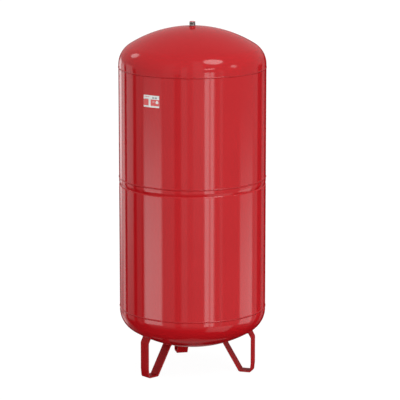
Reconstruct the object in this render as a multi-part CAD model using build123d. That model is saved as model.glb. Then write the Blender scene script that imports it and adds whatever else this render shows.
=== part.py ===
from build123d import *
from math import asin, cos, pi, radians, sin, sqrt
import os

# Floor-standing expansion vessel for a heating system, in millimetres.
# The origin is on the floor under the vessel's axis, +Z is up and -Y is the front.

# --- Shell ---------------------------------------------------------------------------
SHELL_RADIUS = 395.0
WALL = 3.0
CROWN_RADIUS = 1.6 * SHELL_RADIUS       # dished end: crown radius is 0.8 of the diameter
KNUCKLE_RADIUS = 0.308 * SHELL_RADIUS   # and the knuckle is 0.154 of it
HEAD_FLANGE = 16.0                      # straight part of a head, next to its weld
BOTTOM_SEAM_Z = 348.0
MIDDLE_SEAM_Z = 1062.5
TOP_SEAM_Z = 1655.5

# Groove rolled into the lower course: it carries the clamp ring inside
GROOVE_DEPTH = 3.0
GROOVE_TOP_Z = 1045.0
GROOVE_CREST_TOP_Z = 1030.0
GROOVE_CREST_BOTTOM_Z = 1027.0
GROOVE_BOTTOM_Z = 1020.0

# --- Welds ---------------------------------------------------------------------------
GIRTH_BEAD_WIDTH = 8.0
GIRTH_BEAD_HEIGHT = 1.7
SEAM_BEAD_WIDTH = 8.0
SEAM_BEAD_HEIGHT = 1.0
UPPER_SEAM_AZIMUTH = 165.0              # the two straight seams are staggered at the back
LOWER_SEAM_AZIMUTH = -160.0
FILLET_WELD_SIZE = 5.0

# --- Diaphragm and its clamp ring ----------------------------------------------------
DIAPHRAGM_THICKNESS = 2.5
DIAPHRAGM_GAP = 1.0                     # between the bag and the shell
RIM_BEAD_RADIUS = 5.5
RIM_BEAD_CENTRE_RADIUS = SHELL_RADIUS - 9.0
RIM_BEAD_Z = 1050.5
RING_INNER_RADIUS = 376.0
RING_LIP_RADIUS = 387.5
RING_TOP_Z = 1061.5
RING_FLOOR_Z = 1039.5
RING_FOOT_Z = 1024.0
RING_PLATE = 3.0

# --- Water nipple on the top head ----------------------------------------------------
NIPPLE_RADIUS = 16.62                   # R 1 pipe thread, over the crests
NIPPLE_NECK_RADIUS = 15.6               # plain neck between the weld and the thread
NIPPLE_BORE_RADIUS = 13.6
NIPPLE_CHAMFER = 1.2
NIPPLE_THREAD_FOOT_Z = 1878.3
NIPPLE_TOP_Z = 1898.3
PLUG_HEAD_RADIUS = 14.6
PLUG_HEAD_THICKNESS = 1.2
PLUG_SHANK_RADIUS = NIPPLE_BORE_RADIUS - 0.3
PLUG_SHANK_LENGTH = 12.0
PLUG_WALL = 1.6

# --- Gas valve under the bottom head -------------------------------------------------
SOCKET_DROP = 4.0                       # how far the socket stands below the head
SOCKET_RADIUS = 13.0
SOCKET_BORE_RADIUS = 6.6                # G 1/4 thread
SOCKET_INSIDE = 3.0
GASKET_RADIUS = 8.5
GASKET_THICKNESS = 1.0
HEX_ACROSS_FLATS = 17.0
HEX_HEIGHT = 3.5
STEM_RADIUS = 3.85                      # 7.7 mm valve thread
STEM_LENGTH = 8.0
STEM_BORE_RADIUS = 2.6
SHANK_HEIGHT = 10.0
VALVE_CHAMBER_RADIUS = 4.0

# Heights of the valve core's parts, measured from the socket's lower face
CORE_BOTTOM = -11.5
CORE_THREAD_TOP = -6.5
CORE_RING_BOTTOM = -5.5
CORE_RING_TOP = -4.0
CORE_SHOULDER = -3.0
CORE_TOP = 1.0
CORE_THIN_RADIUS = 2.2
SPRING_CHAMBER_RADIUS = 1.9
PIN_GUIDE_RADIUS = 1.0
PIN_RADIUS = 0.7
PIN_BOTTOM = -11.2
PIN_COLLAR_RADIUS = 1.5
PIN_COLLAR_BOTTOM = -10.2
PIN_COLLAR_THICKNESS = 0.8
PIN_SEAL_RADIUS = 2.1
PIN_SEAL_THICKNESS = 1.2
PIN_HEAD_RADIUS = 1.2
PIN_HEAD_THICKNESS = 0.8
SPRING_RADIUS = 1.3
SPRING_WIRE_RADIUS = 0.2
SPRING_TURNS = 5
SPRING_END_GAP = 0.05
CAP_RADIUS = 6.0
CAP_BORE_RADIUS = STEM_RADIUS + 0.3
CAP_GAP = 0.5                           # between the cap's rim and the hexagon
CAP_SEAL_THICKNESS = 1.0
CAP_END = 1.5

# --- Legs: one bent flat bar each ----------------------------------------------------
LEG_AZIMUTHS = {"front_left": -48.4, "right": 72.2, "rear": -167.8}
BAR_WIDTH = 60.0
BAR_THICKNESS = 8.0
BEND_RADIUS = 9.0                       # at the middle of the bar's thickness
KINK_BEND_RADIUS = 60.0
STRUT_RADIUS = 347.0                    # outer face of the upright strut
TAB_LEAN = radians(28.5)
TAB_BEND_Z = 193.0
KINK_Z = 48.0
FOOT_OUTER_RADIUS = 342.0
FOOT_INNER_RADIUS = 271.0
BRACE_LEAN = radians(31.0)
TAB_LENGTH = 60.0                       # both ends run into the head and are trimmed to it
BRACE_LENGTH = 220.0

# --- Rating label --------------------------------------------------------------------
LABEL_WIDTH = 97.0
LABEL_HEIGHT = 63.5
LABEL_THICKNESS = 0.3
LABEL_AZIMUTH = -33.0
LABEL_Z = 1524.5

# --- Sizes that follow from the ones above -------------------------------------------
CROWN_ANGLE = asin((SHELL_RADIUS - KNUCKLE_RADIUS) / (CROWN_RADIUS - KNUCKLE_RADIUS))
CROWN_CENTRE_DEPTH = sqrt((CROWN_RADIUS - KNUCKLE_RADIUS) ** 2 - (SHELL_RADIUS - KNUCKLE_RADIUS) ** 2)
HEAD_HEIGHT = CROWN_RADIUS - CROWN_CENTRE_DEPTH
TOP_KNUCKLE_Z = TOP_SEAM_Z + HEAD_FLANGE
BOTTOM_KNUCKLE_Z = BOTTOM_SEAM_Z - HEAD_FLANGE
APEX_Z = TOP_KNUCKLE_Z + HEAD_HEIGHT
NADIR_Z = BOTTOM_KNUCKLE_Z - HEAD_HEIGHT
VALVE_Z = NADIR_Z - SOCKET_DROP         # the socket's lower face
HEX_TOP = -GASKET_THICKNESS
HEX_BOTTOM = HEX_TOP - HEX_HEIGHT
STEM_BOTTOM = HEX_BOTTOM - STEM_LENGTH


def write(node, shape):
    """Write one node's solids to its own STEP file."""
    export_step(shape, f"parts/{node}.step")


def turned(face):
    """Turn a face drawn in radius and height once round the vessel's axis."""
    return revolve(Plane.XZ * face, Axis.Z, 360)


def ring(inner_radius, outer_radius, low_z, high_z):
    """A plain ring about the vessel's axis."""
    width = outer_radius - inner_radius
    section = Pos(inner_radius + width / 2, (low_z + high_z) / 2) * Rectangle(width, high_z - low_z)
    return turned(section)


def rod(radius, low_z, high_z):
    """A plain rod about the vessel's axis."""
    return Pos(0, 0, low_z) * extrude(Circle(radius), high_z - low_z)


def towards(azimuth, shape):
    """Swing a shape made along +X to an azimuth, counted from the front, positive to the right."""
    return Rot(0, 0, azimuth - 90) * shape


# --- Heads, courses and girth welds --------------------------------------------------
def head_curve(inset):
    """Crown and knuckle, in radius and height above the knuckle's foot, moved inwards by inset."""
    foot = (SHELL_RADIUS - inset, 0)
    knuckle_centre = SHELL_RADIUS - KNUCKLE_RADIUS
    knuckle = KNUCKLE_RADIUS - inset
    crown = CROWN_RADIUS - inset
    half_turn = (pi / 2 - CROWN_ANGLE) / 2
    knuckle_middle = (knuckle_centre + knuckle * cos(half_turn), knuckle * sin(half_turn))
    join = (crown * sin(CROWN_ANGLE), crown * cos(CROWN_ANGLE) - CROWN_CENTRE_DEPTH)
    half_crown = CROWN_ANGLE / 2
    crown_middle = (crown * sin(half_crown), crown * cos(half_crown) - CROWN_CENTRE_DEPTH)
    apex = (0, crown - CROWN_CENTRE_DEPTH)
    return [ThreePointArc(foot, knuckle_middle, join), ThreePointArc(join, crown_middle, apex)]


def head_section(outer_inset, inner_inset, skirt):
    """A head's wall between two insets, with a straight skirt below the knuckle."""
    outer = head_curve(outer_inset)
    inner = head_curve(inner_inset)
    outer_foot = (SHELL_RADIUS - outer_inset, -skirt)
    inner_foot = (SHELL_RADIUS - inner_inset, -skirt)
    outline = outer + inner
    outline.append(Line(outer[0] @ 0, outer_foot))
    outline.append(Line(outer_foot, inner_foot))
    outline.append(Line(inner_foot, inner[0] @ 0))
    outline.append(Line(outer[1] @ 1, inner[1] @ 1))
    return make_face(outline)


def head_core():
    """The full volume inside a head's outer face, used to trim what meets it."""
    outer = head_curve(0)
    outline = outer + [Line((0, 0), outer[0] @ 0), Line((0, 0), outer[1] @ 1)]
    return turned(make_face(outline))


def crown_ball(centre_z):
    """The ball that a head's crown is part of, used to trim what stands near the axis."""
    return Pos(0, 0, centre_z) * Sphere(CROWN_RADIUS)


def raised(shape):
    """Place a head made above z = 0 on top of the shell."""
    return Pos(0, 0, TOP_KNUCKLE_Z) * shape


def lowered(shape):
    """Turn a head made above z = 0 upside down and place it under the shell."""
    return Pos(0, 0, BOTTOM_KNUCKLE_Z) * mirror(shape, Plane.XY)


def top_head():
    head = raised(turned(head_section(0, WALL, HEAD_FLANGE)))
    return head - rod(NIPPLE_NECK_RADIUS, APEX_Z - 2 * WALL, APEX_Z + WALL)


def bottom_head():
    head = lowered(turned(head_section(0, WALL, HEAD_FLANGE)))
    return head - rod(SOCKET_RADIUS, NADIR_Z - WALL, NADIR_Z + 2 * WALL)


def groove_line(radius):
    """The lower course's wall line from its top edge down, with the rolled groove."""
    crest = radius - GROOVE_DEPTH
    down = (0, -1)
    return [
        Line((radius, MIDDLE_SEAM_Z), (radius, GROOVE_TOP_Z)),
        Spline((radius, GROOVE_TOP_Z), (crest, GROOVE_CREST_TOP_Z), tangents=[down, down]),
        Line((crest, GROOVE_CREST_TOP_Z), (crest, GROOVE_CREST_BOTTOM_Z)),
        Spline((crest, GROOVE_CREST_BOTTOM_Z), (radius, GROOVE_BOTTOM_Z), tangents=[down, down]),
        Line((radius, GROOVE_BOTTOM_Z), (radius, BOTTOM_SEAM_Z)),
    ]


def lower_course():
    outer = groove_line(SHELL_RADIUS)
    inner = groove_line(SHELL_RADIUS - WALL)
    ends = [Line(outer[0] @ 0, inner[0] @ 0), Line(outer[-1] @ 1, inner[-1] @ 1)]
    return turned(make_face(outer + inner + ends))


def girth_weld(seam_z):
    """A low rounded bead round the shell, over a butt joint."""
    low = (SHELL_RADIUS, seam_z - GIRTH_BEAD_WIDTH / 2)
    high = (SHELL_RADIUS, seam_z + GIRTH_BEAD_WIDTH / 2)
    crest = (SHELL_RADIUS + GIRTH_BEAD_HEIGHT, seam_z)
    return turned(make_face([ThreePointArc(low, crest, high), Line(low, high)]))


def seam_weld(low_seam_z, high_seam_z, azimuth):
    """A straight bead that closes one rolled course, between two girth welds."""
    half_angle = SEAM_BEAD_WIDTH / 2 / SHELL_RADIUS
    left = (SHELL_RADIUS * cos(half_angle), SHELL_RADIUS * sin(half_angle))
    right = (left[0], -left[1])
    bead_face = make_face([
        ThreePointArc(left, (SHELL_RADIUS + SEAM_BEAD_HEIGHT, 0), right),
        ThreePointArc(left, (SHELL_RADIUS, 0), right),
    ])
    length = high_seam_z - low_seam_z - GIRTH_BEAD_WIDTH
    bead = extrude(bead_face, length)
    return towards(azimuth, Pos(0, 0, low_seam_z + GIRTH_BEAD_WIDTH / 2) * bead)


# --- Diaphragm -----------------------------------------------------------------------
def clamp_ring():
    """A rolled ring: a foot inside the groove's crest, a floor, a web and a lip over the bead."""
    foot_inner = SHELL_RADIUS - WALL - GROOVE_DEPTH - RING_PLATE
    foot = ring(foot_inner, foot_inner + RING_PLATE, RING_FOOT_Z, RING_FLOOR_Z + RING_PLATE)
    floor = ring(RING_INNER_RADIUS, foot_inner, RING_FLOOR_Z, RING_FLOOR_Z + RING_PLATE)
    web = ring(RING_INNER_RADIUS, RING_INNER_RADIUS + RING_PLATE, RING_FLOOR_Z, RING_TOP_Z)
    lip = ring(RING_INNER_RADIUS, RING_LIP_RADIUS, RING_TOP_Z - RING_PLATE, RING_TOP_Z)
    return foot + floor + web + lip


def diaphragm():
    """A rubber bag that lines the upper half of the empty vessel, with a round bead at its rim."""
    outer_inset = WALL + DIAPHRAGM_GAP
    skirt = TOP_KNUCKLE_Z - RIM_BEAD_Z
    bag = raised(turned(head_section(outer_inset, outer_inset + DIAPHRAGM_THICKNESS, skirt)))
    bead = turned(Pos(RIM_BEAD_CENTRE_RADIUS, RIM_BEAD_Z) * Circle(RIM_BEAD_RADIUS))
    return bag + bead


# --- Water nipple --------------------------------------------------------------------
def water_nipple():
    """A pipe stub: a plain neck set through the head, then the length that carries the thread."""
    neck = ring(NIPPLE_BORE_RADIUS, NIPPLE_NECK_RADIUS, APEX_Z - WALL, NIPPLE_THREAD_FOOT_Z)
    thread = ring(NIPPLE_BORE_RADIUS, NIPPLE_RADIUS, NIPPLE_THREAD_FOOT_Z, NIPPLE_TOP_Z)
    outer_rim = thread.edges().filter_by(GeomType.CIRCLE).group_by(Axis.Z)[-1].sort_by(SortBy.RADIUS)[-1]
    return neck + chamfer(outer_rim, NIPPLE_CHAMFER)


def collar_weld(radius, size, low_z, high_z, trim):
    """A triangular fillet round a pipe stub, trimmed to the head it stands on."""
    corners = [(radius, low_z), (radius + size, low_z), (radius, high_z)]
    return turned(make_face(Polyline(*corners, close=True))) - trim


def nipple_weld():
    trim = crown_ball(APEX_Z - CROWN_RADIUS)
    return collar_weld(NIPPLE_NECK_RADIUS, FILLET_WELD_SIZE, APEX_Z - 1, APEX_Z + FILLET_WELD_SIZE, trim)


def nipple_plug():
    """A push-in plug: a flat head on the stub's end and a hollow shank in its bore."""
    head = rod(PLUG_HEAD_RADIUS, NIPPLE_TOP_Z, NIPPLE_TOP_Z + PLUG_HEAD_THICKNESS)
    shank_foot_z = NIPPLE_TOP_Z - PLUG_SHANK_LENGTH
    shank = ring(PLUG_SHANK_RADIUS - PLUG_WALL, PLUG_SHANK_RADIUS, shank_foot_z, NIPPLE_TOP_Z)
    return head + shank


# --- Gas valve -----------------------------------------------------------------------
def valve_rod(radius, low, high):
    """A rod in the valve, with heights counted from the socket's lower face."""
    return rod(radius, VALVE_Z + low, VALVE_Z + high)


def valve_ring(inner_radius, outer_radius, low, high):
    """A ring in the valve, with heights counted from the socket's lower face."""
    return ring(inner_radius, outer_radius, VALVE_Z + low, VALVE_Z + high)


def gas_valve_socket():
    return valve_ring(SOCKET_BORE_RADIUS, SOCKET_RADIUS, 0, SOCKET_DROP + WALL + SOCKET_INSIDE)


def gas_valve_socket_weld():
    trim = crown_ball(NADIR_Z + CROWN_RADIUS)
    size = SOCKET_DROP - 1
    return collar_weld(SOCKET_RADIUS, size, NADIR_Z + 1, NADIR_Z - size, trim)


def gas_valve_gasket():
    return valve_ring(SOCKET_BORE_RADIUS, GASKET_RADIUS, HEX_TOP, 0)


def gas_valve_body():
    """Brass body: a threaded shank in the socket, a hexagon and the thin stem for the cap."""
    shank = valve_rod(SOCKET_BORE_RADIUS, HEX_TOP, SHANK_HEIGHT)
    hexagon_face = RegularPolygon(HEX_ACROSS_FLATS / 2, 6, major_radius=False)
    hexagon = Pos(0, 0, VALVE_Z + HEX_BOTTOM) * extrude(hexagon_face, HEX_HEIGHT)
    stem = valve_rod(STEM_RADIUS, STEM_BOTTOM, HEX_BOTTOM)
    bore = valve_rod(STEM_BORE_RADIUS, STEM_BOTTOM, CORE_TOP)
    chamber = valve_rod(VALVE_CHAMBER_RADIUS, CORE_TOP, SHANK_HEIGHT)
    return shank + hexagon + stem - bore - chamber


def valve_core_barrel():
    """The core's sleeve: a wide threaded foot, a thin body, a spring chamber and a pin guide."""
    thread = valve_rod(STEM_BORE_RADIUS, CORE_BOTTOM, CORE_THREAD_TOP)
    body = valve_rod(CORE_THIN_RADIUS, CORE_THREAD_TOP, CORE_TOP)
    chamber = valve_rod(SPRING_CHAMBER_RADIUS, CORE_BOTTOM, CORE_SHOULDER)
    guide = valve_rod(PIN_GUIDE_RADIUS, CORE_SHOULDER, CORE_TOP)
    return thread + body - chamber - guide


def valve_core_seal():
    return valve_ring(CORE_THIN_RADIUS, STEM_BORE_RADIUS, CORE_RING_BOTTOM, CORE_RING_TOP)


def valve_pin():
    """The pin, with a collar for the spring below and a head above its seal disc."""
    seal_top = CORE_TOP + PIN_SEAL_THICKNESS
    stalk = valve_rod(PIN_RADIUS, PIN_BOTTOM, seal_top)
    collar = valve_rod(PIN_COLLAR_RADIUS, PIN_COLLAR_BOTTOM, PIN_COLLAR_BOTTOM + PIN_COLLAR_THICKNESS)
    head = valve_rod(PIN_HEAD_RADIUS, seal_top, seal_top + PIN_HEAD_THICKNESS)
    return stalk + collar + head


def valve_pin_seal():
    return valve_ring(PIN_RADIUS, PIN_SEAL_RADIUS, CORE_TOP, CORE_TOP + PIN_SEAL_THICKNESS)


def valve_spring():
    """A coil spring round the pin, between its collar and the barrel's shoulder."""
    low = PIN_COLLAR_BOTTOM + PIN_COLLAR_THICKNESS + SPRING_WIRE_RADIUS + SPRING_END_GAP
    high = CORE_SHOULDER - SPRING_WIRE_RADIUS - SPRING_END_GAP
    coil = Helix(pitch=(high - low) / SPRING_TURNS, height=high - low, radius=SPRING_RADIUS)
    section = Plane(origin=coil @ 0, z_dir=coil % 0) * Circle(SPRING_WIRE_RADIUS)
    return Pos(0, 0, VALVE_Z + low) * sweep(section, path=coil)


def valve_cap():
    cap = valve_rod(CAP_RADIUS, STEM_BOTTOM - CAP_SEAL_THICKNESS - CAP_END, HEX_BOTTOM - CAP_GAP)
    bore = valve_rod(CAP_BORE_RADIUS, STEM_BOTTOM - CAP_SEAL_THICKNESS, HEX_BOTTOM - CAP_GAP)
    return cap - bore


def valve_cap_seal():
    return valve_rod(CAP_BORE_RADIUS, STEM_BOTTOM - CAP_SEAL_THICKNESS, STEM_BOTTOM)


# --- Legs ----------------------------------------------------------------------------
def leg_line():
    """Middle of the bar's thickness, in radius and height, from the outer tab to the brace."""
    half = BAR_THICKNESS / 2
    strut = STRUT_RADIUS - half
    foot_outer = FOOT_OUTER_RADIUS - half
    foot_inner = FOOT_INNER_RADIUS + half
    tab_end = (strut - TAB_LENGTH * sin(TAB_LEAN), TAB_BEND_Z + TAB_LENGTH * cos(TAB_LEAN))
    brace_end = (foot_inner - BRACE_LENGTH * sin(BRACE_LEAN), half + BRACE_LENGTH * cos(BRACE_LEAN))
    points = [
        tab_end,
        (strut, TAB_BEND_Z),
        (strut, KINK_Z),
        (foot_outer, half),
        (foot_inner, half),
        brace_end,
    ]
    return FilletPolyline(*points, radius=[BEND_RADIUS, KINK_BEND_RADIUS, BEND_RADIUS, BEND_RADIUS])


def leg_bar():
    """One bent flat bar along +X, long enough at both ends to run into the head."""
    line = Plane.XZ * leg_line()
    section = Plane(origin=line @ 0, x_dir=(0, 1, 0), z_dir=line % 0) * Rectangle(BAR_WIDTH, BAR_THICKNESS)
    return sweep(section, path=line)


def weld_lines(trimmed_bar):
    """The curved edges across the bar's ends, where its two faces meet the head."""
    across = trimmed_bar.edges().filter_by(lambda edge: edge.length > BAR_WIDTH - 1)
    return [edge for edge in across if edge.geom_type != GeomType.LINE]


def leg_welds(bar, trimmed_bar, head):
    """Fillet beads across the bar, along each edge where it meets the head."""
    beads = []
    for line in weld_lines(trimmed_bar):
        middle = line.center()
        lie = Plane(origin=(middle.X, 0, middle.Z), z_dir=(0, 1, 0))
        bead = lie * Cylinder(FILLET_WELD_SIZE, BAR_WIDTH)
        beads.append(bead - head - bar)
    return beads


def write_legs():
    head = lowered(head_core())
    bar = leg_bar()
    trimmed_bar = bar - head
    beads = leg_welds(bar, trimmed_bar, head)
    for name, azimuth in LEG_AZIMUTHS.items():
        write(f"{name}_leg", towards(azimuth, trimmed_bar))
        write(f"{name}_leg_welds", Compound([towards(azimuth, bead) for bead in beads]))


# --- Rating label --------------------------------------------------------------------
def rating_label():
    """A thin sticker bent round the upper course."""
    half_angle = LABEL_WIDTH / 2 / SHELL_RADIUS
    outer_radius = SHELL_RADIUS + LABEL_THICKNESS

    def corner(radius, angle):
        return (radius * cos(angle), radius * sin(angle))

    outer_left = corner(outer_radius, -half_angle)
    outer_right = corner(outer_radius, half_angle)
    inner_left = corner(SHELL_RADIUS, -half_angle)
    inner_right = corner(SHELL_RADIUS, half_angle)
    outline = [
        ThreePointArc(outer_left, (outer_radius, 0), outer_right),
        ThreePointArc(inner_left, (SHELL_RADIUS, 0), inner_right),
        Line(inner_left, outer_left),
        Line(inner_right, outer_right),
    ]
    plate = extrude(make_face(outline), LABEL_HEIGHT)
    return towards(LABEL_AZIMUTH, Pos(0, 0, LABEL_Z - LABEL_HEIGHT / 2) * plate)


# --- Write every node ----------------------------------------------------------------
os.makedirs("parts", exist_ok=True)

write("top_head", top_head())
write("upper_course", ring(SHELL_RADIUS - WALL, SHELL_RADIUS, MIDDLE_SEAM_Z, TOP_SEAM_Z))
write("lower_course", lower_course())
write("bottom_head", bottom_head())
write("top_girth_weld", girth_weld(TOP_SEAM_Z))
write("middle_girth_weld", girth_weld(MIDDLE_SEAM_Z))
write("bottom_girth_weld", girth_weld(BOTTOM_SEAM_Z))
write("upper_course_seam_weld", seam_weld(MIDDLE_SEAM_Z, TOP_SEAM_Z, UPPER_SEAM_AZIMUTH))
write("lower_course_seam_weld", seam_weld(BOTTOM_SEAM_Z, GROOVE_BOTTOM_Z, LOWER_SEAM_AZIMUTH))
write("diaphragm_clamp_ring", clamp_ring())
write("diaphragm", diaphragm())
write("water_nipple", water_nipple())
write("nipple_weld", nipple_weld())
write("nipple_plug", nipple_plug())
write("gas_valve_socket", gas_valve_socket())
write("gas_valve_socket_weld", gas_valve_socket_weld())
write("gas_valve_gasket", gas_valve_gasket())
write("gas_valve_body", gas_valve_body())
write("valve_core_barrel", valve_core_barrel())
write("valve_core_seal", valve_core_seal())
write("valve_pin", valve_pin())
write("valve_pin_seal", valve_pin_seal())
write("valve_spring", valve_spring())
write("valve_cap", valve_cap())
write("valve_cap_seal", valve_cap_seal())
write_legs()
write("rating_label", rating_label())
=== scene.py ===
from math import acos, asin, atan2, cos, hypot, pi, radians, sin, sqrt, tan, tau

import bmesh
import bpy
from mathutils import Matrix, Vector


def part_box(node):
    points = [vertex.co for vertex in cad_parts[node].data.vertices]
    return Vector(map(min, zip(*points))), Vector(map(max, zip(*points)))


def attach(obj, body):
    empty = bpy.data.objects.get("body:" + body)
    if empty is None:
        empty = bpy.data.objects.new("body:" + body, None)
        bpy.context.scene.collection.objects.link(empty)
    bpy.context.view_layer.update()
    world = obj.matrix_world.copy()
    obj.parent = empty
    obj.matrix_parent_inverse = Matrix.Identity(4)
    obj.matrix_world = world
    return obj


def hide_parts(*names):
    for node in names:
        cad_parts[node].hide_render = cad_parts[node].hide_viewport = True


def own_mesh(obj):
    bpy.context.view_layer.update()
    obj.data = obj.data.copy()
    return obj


# The looks of a floor-standing expansion vessel, in metres, in the frame of its CAD model:
# the origin is on the floor under the vessel's axis, +Z is up and -Y is the front.
# An azimuth is counted from the front, positive to the right.

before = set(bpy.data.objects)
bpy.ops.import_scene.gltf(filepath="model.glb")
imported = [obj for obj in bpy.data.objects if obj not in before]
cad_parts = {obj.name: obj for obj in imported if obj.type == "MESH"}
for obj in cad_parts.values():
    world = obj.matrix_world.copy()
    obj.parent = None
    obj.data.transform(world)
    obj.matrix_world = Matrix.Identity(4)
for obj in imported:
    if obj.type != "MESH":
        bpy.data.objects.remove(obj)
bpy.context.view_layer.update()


def middle_height(node):
    low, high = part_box(node)
    return (low.z + high.z) / 2


# --- Places taken from the CAD model ---
SHELL_RADIUS = round(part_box("upper_course")[1].x, 3)
BOTTOM_SEAM_Z = middle_height("bottom_girth_weld")
MIDDLE_SEAM_Z = middle_height("middle_girth_weld")
TOP_SEAM_Z = middle_height("top_girth_weld")
APEX_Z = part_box("top_head")[1].z
NIPPLE_TOP_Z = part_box("water_nipple")[1].z
PLUG_TOP_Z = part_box("nipple_plug")[1].z
PLUG_FOOT_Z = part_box("nipple_plug")[0].z
NADIR_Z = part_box("bottom_head")[0].z
SOCKET_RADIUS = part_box("gas_valve_socket")[1].x
SOCKET_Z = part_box("gas_valve_socket")[0].z
STEM_BOTTOM_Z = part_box("gas_valve_body")[0].z
BODY_TOP_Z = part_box("gas_valve_body")[1].z
CAP_BOTTOM_Z, CAP_RIM_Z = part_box("valve_cap")[0].z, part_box("valve_cap")[1].z
SPRING_LOW_Z, SPRING_TOP_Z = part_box("valve_spring")[0].z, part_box("valve_spring")[1].z
LABEL_LOW_Z, LABEL_TOP_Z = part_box("rating_label")[0].z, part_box("rating_label")[1].z

# --- Shell, as in the CAD model ---
WALL = 0.003
CROWN_RADIUS = 1.6 * SHELL_RADIUS
KNUCKLE_RADIUS = 0.308 * SHELL_RADIUS
HEAD_FLANGE = 0.016
CROWN_ANGLE = asin((SHELL_RADIUS - KNUCKLE_RADIUS) / (CROWN_RADIUS - KNUCKLE_RADIUS))
CROWN_CENTRE_DEPTH = sqrt((CROWN_RADIUS - KNUCKLE_RADIUS) ** 2 - (SHELL_RADIUS - KNUCKLE_RADIUS) ** 2)
TOP_KNUCKLE_Z = TOP_SEAM_Z + HEAD_FLANGE
BOTTOM_KNUCKLE_Z = BOTTOM_SEAM_Z - HEAD_FLANGE
GROOVE_DEPTH = 0.003
GROOVE_TOP_Z = MIDDLE_SEAM_Z - 0.016
GROOVE_CREST_Z = MIDDLE_SEAM_Z - 0.0365
GROOVE_BOTTOM_Z = MIDDLE_SEAM_Z - 0.0430
GUARD_ROW = 0.0005

# --- Welds ---
GIRTH_BEAD_WIDTH = 0.008
GIRTH_BEAD_HEIGHT = 0.0017
SEAM_BEAD_WIDTH = 0.008
SEAM_BEAD_HEIGHT = 0.001
UPPER_SEAM_AZIMUTH = radians(165)
LOWER_SEAM_AZIMUTH = radians(-160)
RIPPLE_PITCH = 0.005
RIPPLE_HEIGHT = 0.00013
RIPPLE_BOW = 2.2                        # how far a ripple's middle trails its ends, in radians
FILLET_SIZE = 0.005
FILLET_RIPPLE_HEIGHT = 0.0003
FILLET_END_SHARE = 0.35                 # size left at the ends of a leg's bead

# --- Water nipple and its plug ---
NIPPLE_RADIUS = 0.01662
NECK_RADIUS = 0.0156
NIPPLE_BORE_RADIUS = 0.0136
THREAD_FOOT_Z = NIPPLE_TOP_Z - 0.020
THREAD_PITCH = 0.002309                 # R 1: 11 threads to the inch
THREAD_DEPTH = 0.001479
THREAD_TAPER = 1 / 32                   # 1 in 16 on the diameter
NIPPLE_CHAMFER = 0.0012
RIM_ROUNDING = 0.0003
PLUG_HEAD_RADIUS = 0.0146
PLUG_SHANK_RADIUS = 0.0133
PLUG_WALL = 0.0016
PLUG_DISH_RADIUS = 0.0105
PLUG_DISH_DEPTH = 0.0005

# --- Gas valve ---
SOCKET_BORE_RADIUS = 0.0066
SOCKET_THREAD_PITCH = 0.001337          # G 1/4: 19 threads to the inch
SOCKET_THREAD_DEPTH = 0.0006
HEX_HALF_WIDTH = 0.0085
HEX_TOP_Z = SOCKET_Z - 0.001
HEX_BOTTOM_Z = HEX_TOP_Z - 0.0035
HEX_CHAMFER_RADIUS = 0.0088
HEX_CHAMFER_HEIGHT = 0.0006
STEM_RADIUS = 0.00385
STEM_BORE_RADIUS = 0.0026
STEM_THREAD_PITCH = 0.000794            # 32 threads to the inch
STEM_THREAD_DEPTH = 0.00045
CORE_TOP_Z = SOCKET_Z + 0.001
CHAMBER_RADIUS = 0.004
CAP_RADIUS = 0.006
CAP_BORE_RADIUS = 0.00415
CAP_END_THICKNESS = 0.0015
CAP_RIBS = 18
CAP_RIB_DEPTH = 0.0004
SPRING_RADIUS = 0.0013
SPRING_WIRE_RADIUS = 0.0002
SPRING_TURNS = 5

# --- Diaphragm ---
DIAPHRAGM_INSET = WALL + 0.001
DIAPHRAGM_THICKNESS = 0.0025
RIM_BEAD_RADIUS = 0.0055
RIM_BEAD_CENTRE_RADIUS = SHELL_RADIUS - 0.009
RIM_BEAD_Z = MIDDLE_SEAM_Z - 0.012

# --- Legs ---
LEG_AZIMUTHS = {"front_left": radians(-48.4), "right": radians(72.2), "rear": radians(-167.8)}
BAR_WIDTH = 0.060
BAR_THICKNESS = 0.008
BAR_EDGE_RADIUS = 0.0012
BEND_RADIUS = 0.009
KINK_BEND_RADIUS = 0.060
STRUT_RADIUS = 0.347
TAB_LEAN = radians(28.5)
TAB_BEND_Z = 0.193
KINK_Z = 0.048
FOOT_OUTER_RADIUS = 0.342
FOOT_INNER_RADIUS = 0.271
BRACE_LEAN = radians(31)
END_LENGTH = 0.030                      # straight length past the last bend, before the trim
TRIM_DEPTH = 0.0005                     # how far the bar's ends sink into the head's wall
BEAD_DEPTH = 0.001                      # and the fillet beads

# --- Rating label ---
LABEL_AZIMUTH = radians(-33)
LABEL_WIDTH = 0.097
LABEL_THICKNESS = 0.0003
PRINT_THICKNESS = 0.00004
PANEL_ROWS = (0.14, 0.67)               # bottom and top of the red field, as shares of the label
DASH_GAP = 0.03                         # gap after a dash, as a share of its row
BAR_SHARES = (0.5, 0.8, 0.65)           # thickness of the bars in turn, as shares of their pitch
DROP_COLUMNS = 48
DROP_BELLY = 0.36                       # height of its widest place, as a share of its height
DROP_SIDE = 0.998                       # where its outline is cut short at the sides

# --- Materials ---
# Noises are given in features per metre.
MIDDLE_TONES = (0.3, 0.7)               # the part of a noise that a ramp spreads out
ENAMEL_CLOUDS = 5
ENAMEL_SPECKS = 900
SPECK_SHARE = 0.3
ENAMEL_PATCHES = 14
ORANGE_PEEL = 230
SHEET_WAVES = 7
WAVE_DEPTH = 12                         # times the depth of the orange peel
GLOSS_FILM = 0.5
SATIN_CLOUDS = 22
SATIN_PATCHES = 60
SATIN_TEXTURE = 260
SATIN_TEXTURE_DEPTH = 0.00003
SATIN_ROUGHNESS = 0.25
SATIN_FILM = 0.21
SCUFF_HEIGHT = 0.012
SCUFF_CHIPS = 160
METAL_STAINS = 130
STREAK_STRETCH = 0.05
STREAK_DEPTH = 0.1                      # as a share of the grooves' pitch
CLOUD_GRAINS = 12                       # grains across one cloud of a moulded surface
PATCH_GRAINS = 5
LACQUER_IOR = 1.5

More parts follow.
